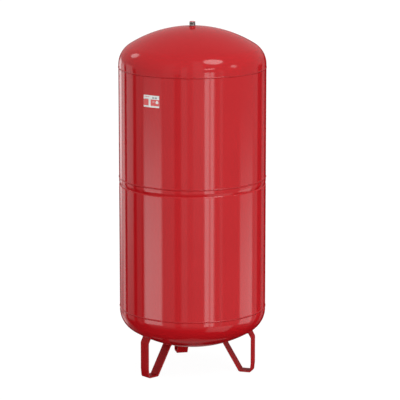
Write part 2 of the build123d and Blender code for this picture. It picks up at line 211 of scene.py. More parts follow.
# --- Fineness of the meshes ---
SHELL_COLUMNS = 288
BEAD_COLUMNS = 2484
FITTING_COLUMNS = 96
RIB_COLUMNS = 10                        # columns in one rib of the valve cap
ARC_STEPS = 20
BEND_STEPS = 10
CORNER_STEPS = 4
BEAD_STEPS = 8
THREAD_STEPS = 12                       # rows in one pitch
SLIDE_STEPS = 80                        # tries to bring a point down to the head
SMOOTH_ANGLE = radians(32)
ON_AXIS = 1e-7


# --- Building meshes ---
def finished(name, mesh):
    """Turn a closed bmesh into a smooth-shaded object with sharp corners."""
    bmesh.ops.recalc_face_normals(mesh, faces=mesh.faces)
    data = bpy.data.meshes.new(name)
    mesh.to_mesh(data)
    mesh.free()
    data.shade_smooth()
    data.set_sharp_from_angle(angle=SMOOTH_ANGLE)
    piece = bpy.data.objects.new(name, data)
    bpy.context.scene.collection.objects.link(piece)
    return piece


def skin(mesh, rings, closed):
    """Join neighbouring rings of vertices with faces. closed also joins the last ring to the first."""
    pairs = list(zip(rings, rings[1:]))
    if closed:
        pairs.append((rings[-1], rings[0]))
    for lower, upper in pairs:
        count = len(lower)
        for index in range(count):
            after = (index + 1) % count
            corners = dict.fromkeys([lower[index], lower[after], upper[after], upper[index]])
            if len(corners) > 2:
                mesh.faces.new(list(corners))


def loft(mesh, rings):
    """Join neighbouring rings with faces, and close both ends."""
    skin(mesh, rings, closed=False)
    mesh.faces.new(rings[0])
    mesh.faces.new(rings[-1][::-1])


def around(radius, azimuth, height):
    """The point at a radius, an azimuth and a height."""
    return Vector((radius * sin(azimuth), -radius * cos(azimuth), height))


def spun(name, outline, columns, shape=None):
    """Turn a closed outline of (radius, height) points once round the vessel's axis.

    shape(radius, height, angle) may change a radius on its way round.
    """
    mesh = bmesh.new()
    rings = []
    for radius, height in outline:
        if radius < ON_AXIS:
            rings.append([mesh.verts.new((0, 0, height))] * columns)
            continue
        ring = []
        for column in range(columns):
            angle = tau * column / columns
            reach = shape(radius, height, angle) if shape else radius
            ring.append(mesh.verts.new(around(reach, angle, height)))
        rings.append(ring)
    skin(mesh, rings, closed=True)
    return finished(name, mesh)


def arc(centre, radius, start, end, steps):
    """Points along an arc, in radius and height. Angles are counted from straight outwards."""
    points = []
    for step in range(steps + 1):
        angle = start + (end - start) * step / steps
        points.append((centre[0] + radius * cos(angle), centre[1] + radius * sin(angle)))
    return points


def eased(share):
    """A smooth step from 0 to 1."""
    share = min(max(share, 0), 1)
    return share * share * (3 - 2 * share)


def wave(turns):
    """A smooth wave that goes from 0 to 1 and back once in every turn."""
    return 0.5 - 0.5 * cos(tau * turns)


def place(piece, body, slot, *nodes):
    """Give a piece its finish, its body and the CAD nodes that it stands for."""
    piece.data.materials.append(MATERIALS[slot])
    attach(piece, body)
    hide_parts(*nodes)


# --- Building materials ---
class NodeTree:
    """Adds nodes to a material or a world and links them."""

    def __init__(self, owner):
        owner.use_nodes = True
        self.tree = owner.node_tree
        self.tree.nodes.clear()

    def add(self, kind, **settings):
        node = self.tree.nodes.new(kind)
        for setting, value in settings.items():
            setattr(node, setting, value)
        return node

    def feed(self, socket, value):
        """Link a socket to another node's output, or set its value."""
        if isinstance(value, bpy.types.NodeSocket):
            self.tree.links.new(value, socket)
        else:
            socket.default_value = value

    def math(self, operation, *values):
        node = self.add("ShaderNodeMath", operation=operation)
        for socket, value in zip(node.inputs, values):
            self.feed(socket, value)
        return node.outputs[0]

    def ramp(self, value, from_low, from_high, to_low=0.0, to_high=1.0):
        """Carry a value smoothly from one range to another, and hold it beyond the ends."""
        node = self.add("ShaderNodeMapRange", interpolation_type="SMOOTHSTEP")
        self.feed(node.inputs["Value"], value)
        node.inputs["From Min"].default_value = from_low
        node.inputs["From Max"].default_value = from_high
        node.inputs["To Min"].default_value = to_low
        node.inputs["To Max"].default_value = to_high
        return node.outputs["Result"]

    def place_on_object(self, stretch=(1, 1, 1)):
        """Coordinates fixed to the piece, in metres, times a stretch along each axis."""
        coordinates = self.add("ShaderNodeTexCoord").outputs["Object"]
        mapping = self.add("ShaderNodeMapping")
        self.feed(mapping.inputs["Vector"], coordinates)
        mapping.inputs["Scale"].default_value = stretch
        return mapping.outputs["Vector"]

    def noise(self, place, scale, detail=3.0):
        """Cloudy noise, from 0 to 1, with features about one over scale metres wide."""
        node = self.add("ShaderNodeTexNoise")
        self.feed(node.inputs["Vector"], place)
        node.inputs["Scale"].default_value = scale
        node.inputs["Detail"].default_value = detail
        return node.outputs["Fac"]

    def blend(self, share, colour, other_colour):
        node = self.add("ShaderNodeMix", data_type="RGBA")
        self.feed(node.inputs["Factor"], share)
        self.feed(node.inputs["A"], colour)
        self.feed(node.inputs["B"], other_colour)
        return node.outputs["Result"]

    def bump(self, height, depth, under=None):
        """Relief as deep as depth, in metres, over another relief."""
        node = self.add("ShaderNodeBump")
        node.inputs["Strength"].default_value = 1.0
        node.inputs["Distance"].default_value = depth
        self.feed(node.inputs["Height"], height)
        if under is not None:
            self.feed(node.inputs["Normal"], under)
        return node.outputs["Normal"]


def principled(name):
    """Make a material with one Principled shader. Returns it, its nodes and the shader's inputs."""
    material = bpy.data.materials.new(name)
    nodes = NodeTree(material)
    shader = nodes.add("ShaderNodeBsdfPrincipled")
    output = nodes.add("ShaderNodeOutputMaterial")
    nodes.feed(output.inputs["Surface"], shader.outputs["BSDF"])
    return material, nodes, shader.inputs


def lacquer(inputs, roughness, weight):
    """A clear film over a matt colour. A weight below 1 keeps more of the colour at the outline."""
    inputs["Specular IOR Level"].default_value = 0.0
    inputs["Coat Weight"].default_value = weight
    inputs["Coat Roughness"].default_value = roughness
    inputs["Coat IOR"].default_value = LACQUER_IOR


def shape_film(nodes, inputs, relief):
    """Give the paint and the film over it the same relief."""
    nodes.feed(inputs["Normal"], relief)
    nodes.feed(inputs["Coat Normal"], relief)


def gloss_paint(name, colour, shade, roughness, peel_depth):
    """Stoved enamel: a cloudy tint under a clear film with orange peel and a faint waviness."""
    material, nodes, inputs = principled(name)
    place = nodes.place_on_object()
    clouds = nodes.math("MULTIPLY", nodes.noise(place, ENAMEL_CLOUDS), 1 - SPECK_SHARE)
    specks = nodes.noise(place, ENAMEL_SPECKS, detail=1.0)
    tint = nodes.math("MULTIPLY_ADD", specks, SPECK_SHARE, clouds)
    nodes.feed(inputs["Base Color"], nodes.blend(nodes.ramp(tint, 0.35, 0.65), shade, colour))
    patches = nodes.noise(place, ENAMEL_PATCHES, detail=5.0)
    nodes.feed(inputs["Roughness"], nodes.ramp(patches, *MIDDLE_TONES, 0.5, 0.65))
    lacquer(inputs, roughness, GLOSS_FILM)
    peel = nodes.bump(nodes.noise(place, ORANGE_PEEL, detail=1.0), peel_depth)
    waves = nodes.noise(place, SHEET_WAVES, detail=1.0)
    shape_film(nodes, inputs, nodes.bump(waves, peel_depth * WAVE_DEPTH, under=peel))
    return material


def worn_leg_paint(name, colour, shade, scuff):
    """Satin paint on flat bar: rolled texture, and scuffed through to primer at the foot."""
    material, nodes, inputs = principled(name)
    place = nodes.place_on_object()
    clouds = nodes.ramp(nodes.noise(place, SATIN_CLOUDS, detail=4.0), 0.2, 0.8)
    paint = nodes.blend(clouds, shade, colour)
    height = nodes.add("ShaderNodeSeparateXYZ")
    nodes.feed(height.inputs["Vector"], place)
    near_floor = nodes.ramp(height.outputs["Z"], 0.0, SCUFF_HEIGHT, 1.0, 0.0)
    chips = nodes.ramp(nodes.noise(place, SCUFF_CHIPS, detail=5.0), 0.58, 0.64)
    worn = nodes.math("MULTIPLY", near_floor, chips)
    nodes.feed(inputs["Base Color"], nodes.blend(worn, paint, scuff))
    patches = nodes.noise(place, SATIN_PATCHES)
    nodes.feed(inputs["Roughness"], nodes.ramp(patches, *MIDDLE_TONES, 0.45, 0.6))
    lacquer(inputs, SATIN_ROUGHNESS, SATIN_FILM)
    shape_film(nodes, inputs, nodes.bump(nodes.noise(place, SATIN_TEXTURE), SATIN_TEXTURE_DEPTH))
    return material


def turned_metal(name, colour, stain, roughness, groove_pitch):
    """Turned or rolled metal: fine rings round the axis and cloudy staining."""
    material, nodes, inputs = principled(name)
    place = nodes.place_on_object()
    clouds = nodes.ramp(nodes.noise(place, METAL_STAINS, detail=5.0), 0.35, 0.7)
    nodes.feed(inputs["Base Color"], nodes.blend(clouds, colour, stain))
    inputs["Metallic"].default_value = 1.0
    round_axis = nodes.place_on_object((STREAK_STRETCH, STREAK_STRETCH, 1))
    streaks = nodes.noise(round_axis, 1 / groove_pitch, detail=2.0)
    nodes.feed(inputs["Roughness"], nodes.ramp(streaks, *MIDDLE_TONES, roughness, roughness * 1.4))
    nodes.feed(inputs["Normal"], nodes.bump(streaks, groove_pitch * STREAK_DEPTH))
    return material


def moulded(name, colour, shade, roughness, grain, grain_depth):
    """Moulded rubber or plastic: a fine grain and a slightly uneven tint and gloss."""
    material, nodes, inputs = principled(name)
    place = nodes.place_on_object()
    clouds = nodes.ramp(nodes.noise(place, grain / CLOUD_GRAINS, detail=4.0), *MIDDLE_TONES)
    nodes.feed(inputs["Base Color"], nodes.blend(clouds, colour, shade))
    patches = nodes.noise(place, grain / PATCH_GRAINS)
    nodes.feed(inputs["Roughness"], nodes.ramp(patches, *MIDDLE_TONES, roughness, roughness * 1.3))
    nodes.feed(inputs["Normal"], nodes.bump(nodes.noise(place, grain, detail=2.0), grain_depth))
    return material


# Slots: (material's name, colour, shade, roughness of the film, depth of the orange peel).
ENAMELS = {
    "red_paint": (
        "gloss_red_enamel", (0.337, 0.0058, 0.0086, 1), (0.324, 0.0052, 0.0080, 1), 0.075, 0.000010),
    # The weld's enamel is the shell's red made darker: painted shade along the seams and fillets.
    "painted_weld": (
        "enamel_over_weld_painted_shade", (0.295, 0.0050, 0.0075, 1), (0.270, 0.0044, 0.0068, 1), 0.20, 0.000030),
}
# Slots: (material's name, colour, stain, roughness, pitch of the grooves).
METALS = {
    "bare_steel": ("rolled_steel", (0.42, 0.42, 0.43, 1), (0.30, 0.29, 0.28, 1), 0.38, 0.002),
    "nipple_steel": ("dull_zinc_steel", (0.34, 0.33, 0.32, 1), (0.26, 0.25, 0.24, 1), 0.32, 0.0006),
    "spring_steel": ("drawn_wire", (0.55, 0.55, 0.56, 1), (0.42, 0.42, 0.42, 1), 0.25, 0.0003),
    "valve_brass": ("turned_brass", (0.72, 0.50, 0.20, 1), (0.50, 0.33, 0.12, 1), 0.24, 0.0004),
}
# Slots: (material's name, colour, shade, roughness, grains per metre, depth of the grain).
MOULDINGS = {
    "diaphragm_rubber": (
        "talc_dusted_rubber", (0.020, 0.020, 0.022, 1), (0.055, 0.055, 0.055, 1), 0.62, 600, 0.00004),
    "seal_rubber": (
        "black_seal_rubber", (0.014, 0.014, 0.014, 1), (0.024, 0.024, 0.024, 1), 0.55, 2500, 0.00002),
    "plug_plastic": (
        "red_polyethylene", (0.48, 0.055, 0.070, 1), (0.42, 0.045, 0.060, 1), 0.30, 1500, 0.00002),
    "cap_plastic": (
        "black_nylon", (0.018, 0.018, 0.018, 1), (0.030, 0.030, 0.030, 1), 0.36, 2500, 0.00002),
    "label_film": (
        "white_label_film", (0.56, 0.57, 0.56, 1), (0.50, 0.51, 0.50, 1), 0.40, 900, 0.00001),
}
# Inks: (material's name, colour, shade).
INKS = {
    "pale_red": ("pale_red_ink", (0.50, 0.046, 0.048, 1), (0.46, 0.040, 0.042, 1)),
    "red": ("red_ink", (0.40, 0.02, 0.03, 1), (0.36, 0.018, 0.026, 1)),
    "dark": ("dark_ink", (0.03, 0.03, 0.035, 1), (0.05, 0.05, 0.055, 1)),
    "white": ("white_ink", (0.56, 0.57, 0.56, 1), (0.50, 0.51, 0.50, 1)),
}
INK_FINISH = (0.40, 900, 0.00001)       # as the label's film
LEG_RED = (0.250, 0.0030, 0.0045, 1)
LEG_RED_SHADE = (0.235, 0.0028, 0.0042, 1)
PRIMER_GREY = (0.16, 0.15, 0.15, 1)

MATERIALS = {"leg_paint": worn_leg_paint("satin_red_leg_paint", LEG_RED, LEG_RED_SHADE, PRIMER_GREY)}
MATERIALS.update({slot: gloss_paint(*recipe) for slot, recipe in ENAMELS.items()})
MATERIALS.update({slot: turned_metal(*recipe) for slot, recipe in METALS.items()})
MATERIALS.update({slot: moulded(*recipe) for slot, recipe in MOULDINGS.items()})
LABEL_INKS = {ink: moulded(*recipe, *INK_FINISH) for ink, recipe in INKS.items()}


# --- Heads, courses and welds ---
def head_arcs(inset, hole_radius):
    """A head's face, sunk by an inset, from its knuckle's foot to the hole at its middle.

    It is given in radius and height above the foot.
    """
    knuckle_centre = (SHELL_RADIUS - KNUCKLE_RADIUS, 0)
    crown_centre = (0, -CROWN_CENTRE_DEPTH)
    join_angle = pi / 2 - CROWN_ANGLE
    hole_angle = asin(hole_radius / (CROWN_RADIUS - inset))
    knuckle = arc(knuckle_centre, KNUCKLE_RADIUS - inset, 0, join_angle, ARC_STEPS)
    crown = arc(crown_centre, CROWN_RADIUS - inset, join_angle, pi / 2 - hole_angle, ARC_STEPS)
    return knuckle + crown[1:]


def head_outline(hole_radius):
    outer = [(SHELL_RADIUS, -HEAD_FLANGE)] + head_arcs(0, hole_radius)
    inner = [(SHELL_RADIUS - WALL, -HEAD_FLANGE)] + head_arcs(WALL, hole_radius)
    return outer + inner[::-1]


def raised(outline):
    """Place an outline made above zero on top of the shell."""
    return [(radius, TOP_KNUCKLE_Z + height) for radius, height in outline]


def lowered(outline):
    """Turn an outline made above zero upside down and place it under the shell."""
    return [(radius, BOTTOM_KNUCKLE_Z - height) for radius, height in outline]


def groove_face(radius):
    """The lower course's face from its top edge down, with the rolled groove.

    The groove deepens slowly down to a sharp crest and comes back quickly below it. A row just
    past each end of it keeps the smooth shading of the plain wall straight.
    """
    points = [(radius, MIDDLE_SEAM_Z), (radius, GROOVE_TOP_Z + GUARD_ROW)]
    for step in range(ARC_STEPS + 1):
        share = step / ARC_STEPS
        height = GROOVE_TOP_Z + (GROOVE_CREST_Z - GROOVE_TOP_Z) * share
        points.append((radius - GROOVE_DEPTH * (1 - cos(pi / 2 * share)), height))
    for step in range(1, ARC_STEPS + 1):
        share = step / ARC_STEPS
        height = GROOVE_CREST_Z + (GROOVE_BOTTOM_Z - GROOVE_CREST_Z) * share
        points.append((radius - GROOVE_DEPTH * (1 - sin(pi / 2 * share)), height))
    points.append((radius, GROOVE_BOTTOM_Z - GUARD_ROW))
    points.append((radius, BOTTOM_SEAM_Z))
    return points


def bead_bulge(across, width):
    """How full a bead is at a distance from its middle, from 0 at its edge to 1."""
    share = min(abs(across) / (width / 2), 1)
    return 1 - share * share


def girth_bead(name, seam_z):
    """A low bead round the shell, with the bowed ripples of the weld pool."""
    half = GIRTH_BEAD_WIDTH / 2
    ripples = round(tau * SHELL_RADIUS / RIPPLE_PITCH)
    outline = []
    for step in range(BEAD_STEPS + 1):
        across = -half + GIRTH_BEAD_WIDTH * step / BEAD_STEPS
        reach = SHELL_RADIUS + GIRTH_BEAD_HEIGHT * bead_bulge(across, GIRTH_BEAD_WIDTH)
        outline.append((reach, seam_z + across))
    outline.append((SHELL_RADIUS - WALL / 2, seam_z + half))
    outline.append((SHELL_RADIUS - WALL / 2, seam_z - half))

    def rippled(radius, height, angle):
        if radius < SHELL_RADIUS:
            return radius
        fullness = bead_bulge(height - seam_z, GIRTH_BEAD_WIDTH)
        return radius + RIPPLE_HEIGHT * fullness * sin(ripples * angle + RIPPLE_BOW * fullness)

    return spun(name, outline, BEAD_COLUMNS, rippled)


def seam_bead(name, low_seam_z, high_seam_z, azimuth):
    """The straight bead that closes one rolled course, between two girth beads."""
    low_z = low_seam_z + GIRTH_BEAD_WIDTH / 2
    high_z = high_seam_z - GIRTH_BEAD_WIDTH / 2
    rows = round((high_z - low_z) / RIPPLE_PITCH * BEAD_STEPS / 2)
    mesh = bmesh.new()
    rings = []
    for row in range(rows + 1):
        height = low_z + (high_z - low_z) * row / rows
        ring = []
        for step in range(BEAD_STEPS + 1):
            across = SEAM_BEAD_WIDTH * (step / BEAD_STEPS - 0.5)
            fullness = bead_bulge(across, SEAM_BEAD_WIDTH)
            ripple = RIPPLE_HEIGHT * sin(tau * height / RIPPLE_PITCH + RIPPLE_BOW * fullness)
            reach = SHELL_RADIUS + (SEAM_BEAD_HEIGHT + ripple) * fullness
            ring.append(mesh.verts.new(around(reach, azimuth + across / SHELL_RADIUS, height)))
        for side in (1, -1):
            angle = azimuth + side * SEAM_BEAD_WIDTH / 2 / SHELL_RADIUS
            ring.append(mesh.verts.new(around(SHELL_RADIUS - WALL / 2, angle, height)))
        rings.append(ring)
    loft(mesh, rings)
    return finished(name, mesh)


def build_shell():
    inner_radius = SHELL_RADIUS - WALL
    tube = [
        (SHELL_RADIUS, MIDDLE_SEAM_Z),
        (SHELL_RADIUS, TOP_SEAM_Z),
        (inner_radius, TOP_SEAM_Z),
        (inner_radius, MIDDLE_SEAM_Z),
    ]
    shells = {
        "top_head": ("top_head_shell", raised(head_outline(NECK_RADIUS))),
        "bottom_head": ("bottom_head_shell", lowered(head_outline(SOCKET_RADIUS))),
        "upper_course": ("upper_course_tube", tube),
        "lower_course": ("lower_course_tube", groove_face(SHELL_RADIUS) + groove_face(inner_radius)[::-1]),
    }
    for node, (name, outline) in shells.items():
        place(spun(name, outline, SHELL_COLUMNS), "root", "red_paint", node)


def build_shell_welds():
    seams = {"top": TOP_SEAM_Z, "middle": MIDDLE_SEAM_Z, "bottom": BOTTOM_SEAM_Z}
    for name, seam_z in seams.items():
        place(girth_bead(f"{name}_girth_bead", seam_z), "root", "painted_weld", f"{name}_girth_weld")
    upper = seam_bead("upper_course_seam_bead", MIDDLE_SEAM_Z, TOP_SEAM_Z, UPPER_SEAM_AZIMUTH)
    place(upper, "root", "painted_weld", "upper_course_seam_weld")
    lower = seam_bead("lower_course_seam_bead", BOTTOM_SEAM_Z, MIDDLE_SEAM_Z, LOWER_SEAM_AZIMUTH)
    place(lower, "root", "painted_weld", "lower_course_seam_weld")


# --- Diaphragm ---
def build_diaphragm():
    """The rubber bag, with a round bead at its rim."""
    inner_inset = DIAPHRAGM_INSET + DIAPHRAGM_THICKNESS
    bead_centre = (RIM_BEAD_CENTRE_RADIUS, RIM_BEAD_Z)
    outer_wall = SHELL_RADIUS - DIAPHRAGM_INSET
    inner_wall = SHELL_RADIUS - inner_inset
    outer_angle = acos(min((outer_wall - bead_centre[0]) / RIM_BEAD_RADIUS, 1))
    inner_angle = acos((inner_wall - bead_centre[0]) / RIM_BEAD_RADIUS)
    bead = arc(bead_centre, RIM_BEAD_RADIUS, inner_angle, tau + outer_angle, ARC_STEPS)
    outer = raised(head_arcs(DIAPHRAGM_INSET, ON_AXIS / 2))
    inner = raised(head_arcs(inner_inset, ON_AXIS / 2))
    bag = spun("diaphragm_bag", bead + outer + inner[::-1], SHELL_COLUMNS)
    place(bag, "root", "diaphragm_rubber", "diaphragm")
    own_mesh(bag)


# --- Water nipple ---
def screw(crest_radius, foot_z, top_z, pitch, depth, taper=0.0):
    """A shape for spun: a rounded thread on the faces that reach the crest radius."""

    def threaded(radius, height, angle):
        if radius < crest_radius - ON_AXIS or not foot_z <= height <= top_z:
            return radius
        runout = min((height - foot_z) / pitch, (top_z - height) / pitch, 1)
        turn = height / pitch - angle / tau
        cut = depth * eased(runout) * wave(turn)
        return radius - cut - taper * (height - foot_z)

    return threaded


def thread_rows(radius, foot_z, top_z, pitch):
    rows = round((top_z - foot_z) / pitch * THREAD_STEPS)
    return [(radius, foot_z + (top_z - foot_z) * row / rows) for row in range(rows + 1)]


def build_nipple():
    """The threaded pipe stub, with a plain neck and a chamfered mouth."""
    thread_top_z = NIPPLE_TOP_Z - NIPPLE_CHAMFER
    foot_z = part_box("water_nipple")[0].z
    outline = [(NIPPLE_BORE_RADIUS, foot_z), (NECK_RADIUS, foot_z), (NECK_RADIUS, THREAD_FOOT_Z)]
    outline += thread_rows(NIPPLE_RADIUS, THREAD_FOOT_Z, thread_top_z, THREAD_PITCH)
    mouth_radius = NIPPLE_RADIUS - NIPPLE_CHAMFER - THREAD_TAPER * (thread_top_z - THREAD_FOOT_Z)
    rounding = (mouth_radius - RIM_ROUNDING, NIPPLE_TOP_Z - RIM_ROUNDING)
    outline += arc(rounding, RIM_ROUNDING, pi / 4, pi / 2, CORNER_STEPS)
    rounding = (NIPPLE_BORE_RADIUS + RIM_ROUNDING, NIPPLE_TOP_Z - RIM_ROUNDING)
    outline += arc(rounding, RIM_ROUNDING, pi / 2, pi, CORNER_STEPS)
    thread = screw(NIPPLE_RADIUS, THREAD_FOOT_Z, thread_top_z, THREAD_PITCH, THREAD_DEPTH, THREAD_TAPER)
    nipple = spun("threaded_nipple", outline, FITTING_COLUMNS, thread)
    place(nipple, "root", "nipple_steel", "water_nipple")


def collar_bead(name, stub_radius, size, head_z, up):
    """A rippled fillet round a stub: up is 1 on the top head and -1 under the bottom one."""
    base_z = head_z - up * WALL / 2
    outline = [(stub_radius, base_z), (stub_radius + size, base_z)]
    for step in range(BEAD_STEPS + 1):
        angle = pi / 2 * step / BEAD_STEPS
        outline.append((stub_radius + size * (1 - sin(angle)), head_z + up * size * (1 - cos(angle))))
    outline[-1] = (stub_radius, head_z + up * size)
    ripples = round(tau * (stub_radius + size / 2) / RIPPLE_PITCH)

    def rippled(radius, height, angle):
        if (height - head_z) * up < ON_AXIS or radius < stub_radius + ON_AXIS:
            return radius
        return radius + FILLET_RIPPLE_HEIGHT * sin(ripples * angle + (height - head_z) / size)

    return spun(name, outline, FITTING_COLUMNS * 2, rippled)


def build_nipple_bead():
    bead = collar_bead("nipple_bead", NECK_RADIUS, FILLET_SIZE, APEX_Z, 1)
    place(bead, "root", "painted_weld", "nipple_weld")


def build_plug():
    """The transit plug: a dished head on the stub's mouth and a hollow shank in its bore."""
    shank_bore = PLUG_SHANK_RADIUS - PLUG_WALL
    outline = [
        (0, NIPPLE_TOP_Z),
        (shank_bore, NIPPLE_TOP_Z),
        (shank_bore, PLUG_FOOT_Z),
        (PLUG_SHANK_RADIUS - RIM_ROUNDING, PLUG_FOOT_Z),
        (PLUG_SHANK_RADIUS, PLUG_FOOT_Z + RIM_ROUNDING),
        (PLUG_SHANK_RADIUS, NIPPLE_TOP_Z),
        (PLUG_HEAD_RADIUS, NIPPLE_TOP_Z),
    ]
    rounding = (PLUG_HEAD_RADIUS - RIM_ROUNDING, PLUG_TOP_Z - RIM_ROUNDING)
    outline += arc(rounding, RIM_ROUNDING, 0, pi / 2, CORNER_STEPS)
    for step in range(CORNER_STEPS + 1):
        share = step / CORNER_STEPS
        radius = PLUG_DISH_RADIUS + PLUG_DISH_DEPTH * (1 - 2 * share)
        outline.append((radius, PLUG_TOP_Z - PLUG_DISH_DEPTH * eased(share)))
    outline.append((0, PLUG_TOP_Z - PLUG_DISH_DEPTH))
    plug = spun("transit_plug", outline, FITTING_COLUMNS)
    place(plug, "nipple_plug", "plug_plastic", "nipple_plug")


# --- Gas valve ---
def build_valve_body():
    """The brass body: a threaded shank, a chamfered hexagon and a threaded stem."""
    chamfer_low_z = HEX_BOTTOM_Z + HEX_CHAMFER_HEIGHT
    corner_radius = HEX_HALF_WIDTH / cos(pi / 6)
    outline = [(STEM_BORE_RADIUS, CORE_TOP_Z), (STEM_BORE_RADIUS, STEM_BOTTOM_Z)]
    outline += thread_rows(STEM_RADIUS, STEM_BOTTOM_Z, HEX_BOTTOM_Z, STEM_THREAD_PITCH)
    outline += [
        (HEX_CHAMFER_RADIUS - HEX_CHAMFER_HEIGHT, HEX_BOTTOM_Z),
        (corner_radius, chamfer_low_z),
        (corner_radius, HEX_TOP_Z),
    ]
    outline += thread_rows(SOCKET_BORE_RADIUS, HEX_TOP_Z, BODY_TOP_Z, SOCKET_THREAD_PITCH)
    outline += [(CHAMBER_RADIUS, BODY_TOP_Z), (CHAMBER_RADIUS, CORE_TOP_Z)]
    stem_thread = screw(STEM_RADIUS, STEM_BOTTOM_Z, HEX_BOTTOM_Z, STEM_THREAD_PITCH, STEM_THREAD_DEPTH)
    shank_thread = screw(
        SOCKET_BORE_RADIUS, HEX_TOP_Z, BODY_TOP_Z, SOCKET_THREAD_PITCH, SOCKET_THREAD_DEPTH)

    def shaped(radius, height, angle):
        if radius > HEX_HALF_WIDTH:
            across_flat = (angle + pi / 6) % (pi / 3) - pi / 6
            return HEX_HALF_WIDTH / cos(across_flat)
        if height <= HEX_BOTTOM_Z and radius <= STEM_RADIUS:
            return stem_thread(radius, height, angle)
        if height >= HEX_TOP_Z and radius <= SOCKET_BORE_RADIUS:
            return shank_thread(radius, height, angle)
        return radius

    body = spun("gas_valve_brass", outline, FITTING_COLUMNS, shaped)
    place(body, "root", "valve_brass", "gas_valve_body")


def build_valve_cap():
    """The ribbed cap: a rounded end and ribs for the fingers."""
    rib_top_z = CAP_RIM_Z - CAP_RIB_DEPTH * 2
    rounding = (CAP_RADIUS - CAP_END_THICKNESS / 2, CAP_BOTTOM_Z + CAP_END_THICKNESS / 2)
    outline = [(0, CAP_BOTTOM_Z)]
    outline += arc(rounding, CAP_END_THICKNESS / 2, -pi / 2, 0, CORNER_STEPS)
    outline += [
        (CAP_RADIUS, rib_top_z),
        (CAP_RADIUS - CAP_RIB_DEPTH, CAP_RIM_Z),
        (CAP_BORE_RADIUS, CAP_RIM_Z),
        (CAP_BORE_RADIUS, CAP_BOTTOM_Z + CAP_END_THICKNESS),
        (0, CAP_BOTTOM_Z + CAP_END_THICKNESS),
    ]

    def ribbed(radius, height, angle):
        if radius < CAP_RADIUS - ON_AXIS:
            return radius
        return radius - CAP_RIB_DEPTH * wave(CAP_RIBS * angle / tau)

    cap = spun("ribbed_valve_cap", outline, CAP_RIBS * RIB_COLUMNS, ribbed)
    place(cap, "valve_cap", "cap_plastic", "valve_cap")


def build_valve_spring():
    """The coil round the pin."""
    low_z = SPRING_LOW_Z + SPRING_WIRE_RADIUS
    rise = SPRING_TOP_Z - SPRING_WIRE_RADIUS - low_z
    rows = SPRING_TURNS * 2 * ARC_STEPS
    mesh = bmesh.new()
    rings = []
    for row in range(rows + 1):
        angle = tau * SPRING_TURNS * row / rows
        ring = []
        for corner in range(BEAD_STEPS):
            side = tau * corner / BEAD_STEPS
            radius = SPRING_RADIUS + SPRING_WIRE_RADIUS * cos(side)
            height = low_z + rise * row / rows + SPRING_WIRE_RADIUS * sin(side)
            ring.append(mesh.verts.new(around(radius, angle, height)))
        rings.append(ring)
    loft(mesh, rings)
    coil = finished("valve_spring_coil", mesh)
    place(coil, "root", "spring_steel", "valve_spring")
    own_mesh(coil)


def build_socket_bead():
    size = NADIR_Z - SOCKET_Z - WALL / 3
    bead = collar_bead("gas_valve_socket_bead", SOCKET_RADIUS, size, NADIR_Z, -1)
    place(bead, "root", "painted_weld", "gas_valve_socket_weld")


# --- Legs ---
def head_distance(point):
    """How far a point is outside the bottom head, and the way straight out from it there."""
    radius = hypot(point.x, point.y)
    crown_centre = Vector((0, 0, BOTTOM_KNUCKLE_Z + CROWN_CENTRE_DEPTH))
    if atan2(radius, crown_centre.z - point.z) < CROWN_ANGLE:
        arm = point - crown_centre
        return arm.length - CROWN_RADIUS, arm.normalized()
    outwards = Vector((point.x, point.y, 0)) / radius
    knuckle_centre = outwards * (SHELL_RADIUS - KNUCKLE_RADIUS)
    knuckle_centre.z = max(point.z, BOTTOM_KNUCKLE_Z)
    arm = point - knuckle_centre
    return arm.length - KNUCKLE_RADIUS, arm.normalized()


def slid_to_head(point, way, depth):
    """Slide a point outside the head along a way until it is as deep in the wall as asked."""
    for _ in range(SLIDE_STEPS):
        distance, _ = head_distance(point)
        point = point + way * (distance + depth)
    return point


def turned(arm, angle):
    """Turn a flat vector to the left."""
    return Vector((arm.x * cos(angle) - arm.y * sin(angle), arm.x * sin(angle) + arm.y * cos(angle)))


def rounded_route(corners, radii):
    """A flat route with rounded corners: a list of (point, way), in radius and height."""
    route = [(corners[0], (corners[1] - corners[0]).normalized())]
    for before, corner, after, radius in zip(corners, corners[1:], corners[2:], radii):
        way_in = (corner - before).normalized()
        way_out = (after - corner).normalized()
        turn = atan2(way_in.x * way_out.y - way_in.y * way_out.x, way_in.dot(way_out))
        start = corner - way_in * radius * tan(abs(turn) / 2)
        side = Vector((-way_in.y, way_in.x)) * (1 if turn > 0 else -1)
        centre = start + side * radius
        for step in range(BEND_STEPS + 1):
            angle = turn * step / BEND_STEPS
            route.append((centre + turned(-side * radius, angle), turned(way_in, angle)))
    route.append((corners[-1], (corners[-1] - corners[-2]).normalized()))
    return route


def leg_route():
    """Middle of the bar's thickness, from the outer tab to the brace."""
    half = BAR_THICKNESS / 2
    strut = STRUT_RADIUS - half
    tab_bend = Vector((strut, TAB_BEND_Z))
    brace_bend = Vector((FOOT_INNER_RADIUS + half, half))
    corners = [
        tab_bend + END_LENGTH * Vector((-sin(TAB_LEAN), cos(TAB_LEAN))),
        tab_bend,
        Vector((strut, KINK_Z)),
        Vector((FOOT_OUTER_RADIUS - half, half)),
        brace_bend,
        brace_bend + END_LENGTH * Vector((-sin(BRACE_LEAN), cos(BRACE_LEAN))),
    ]
    return rounded_route(corners, [BEND_RADIUS, KINK_BEND_RADIUS, BEND_RADIUS, BEND_RADIUS])


def bar_section():
    """The flat bar's section with rounded edges, as (across, through) offsets."""
    points = []
    half_width = BAR_WIDTH / 2 - BAR_EDGE_RADIUS
    half_depth = BAR_THICKNESS / 2 - BAR_EDGE_RADIUS
    for quarter, (across, through) in enumerate([(1, 1), (-1, 1), (-1, -1), (1, -1)]):
        centre = (across * half_width, through * half_depth)
        points += arc(centre, BAR_EDGE_RADIUS, quarter * pi / 2, (quarter + 1) * pi / 2, CORNER_STEPS)
    return points


